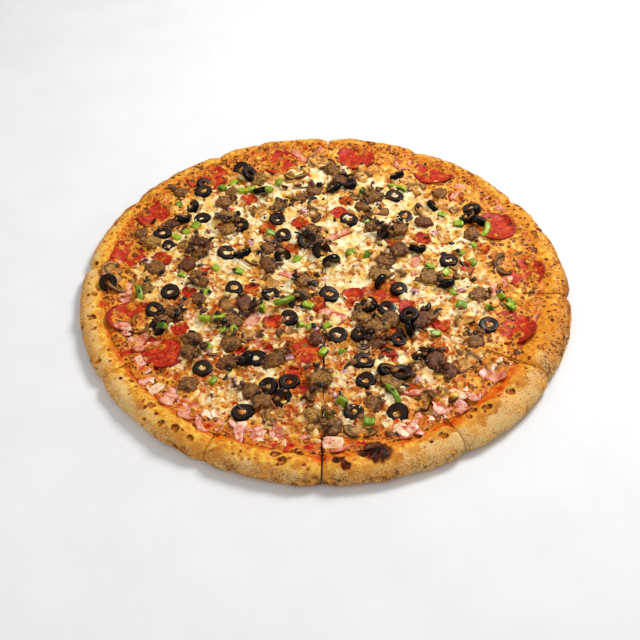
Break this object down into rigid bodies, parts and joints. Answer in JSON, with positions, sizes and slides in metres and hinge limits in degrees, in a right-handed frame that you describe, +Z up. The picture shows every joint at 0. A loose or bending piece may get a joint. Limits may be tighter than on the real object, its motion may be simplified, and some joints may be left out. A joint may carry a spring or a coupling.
{
  "type": "pizza",
  "caption": "Large round pizza cut into slices, with pepperoni, ham, sausage, olives, mushrooms, green pepper and onion baked in browned cheese inside a puffed, floured rim",
  "frame": {"origin": "under the middle of the pizza, on the surface that it lies on", "axes": "+X right and -Y towards the viewer as pictured, +Z up through the thickness"},
  "size_m": [0.4045, 0.4033, 0.0223],
  "materials": {
    "crust": "baked dough, matte, floured outside and browned on its crest",
    "topping": "melted cheese with browned blisters over red sauce, oily and soft-glossy",
    "pepperoni": "cured sausage slice, oily, darker at its cupped edge",
    "ham": "cooked ham, moist, pale pink",
    "mushroom": "baked mushroom, satin, darker gills and edge"
  },
  "bodies": {
    "root": {"ham_01": "ham", "ham_02": "ham", "ham_03": "ham", "ham_04": "ham", "ham_05": "ham", "ham_06": "ham", "ham_07": "ham", "ham_08": "ham", "mushroom_01": "mushroom", "mushroom_02": "mushroom", "mushroom_03": "mushroom", "mushroom_04": "mushroom", "mushroom_05": "mushroom", "pepperoni_01": "pepperoni", "pepperoni_02": "pepperoni", "pepperoni_03": "pepperoni", "pepperoni_04": "pepperoni", "pepperoni_05": "pepperoni", "pepperoni_06": "pepperoni", "pepperoni_07": "pepperoni", "pepperoni_08": "pepperoni", "pepperoni_09": "pepperoni", "slice_01_crust": "crust", "slice_01_topping": "topping", "slice_02_crust": "crust", "slice_02_topping": "topping", "slice_03_crust": "crust", "slice_03_topping": "topping", "slice_04_crust": "crust", "slice_04_topping": "topping", "slice_05_crust": "crust", "slice_05_topping": "topping", "slice_06_crust": "crust", "slice_06_topping": "topping", "slice_07_crust": "crust", "slice_07_topping": "topping", "slice_08_crust": "crust", "slice_08_topping": "topping", "slice_09_crust": "crust", "slice_09_topping": "topping", "slice_10_crust": "crust", "slice_10_topping": "topping", "slice_11_crust": "crust", "slice_11_topping": "topping", "slice_12_crust": "crust", "slice_12_topping": "topping"}
  },
  "joints": []
}
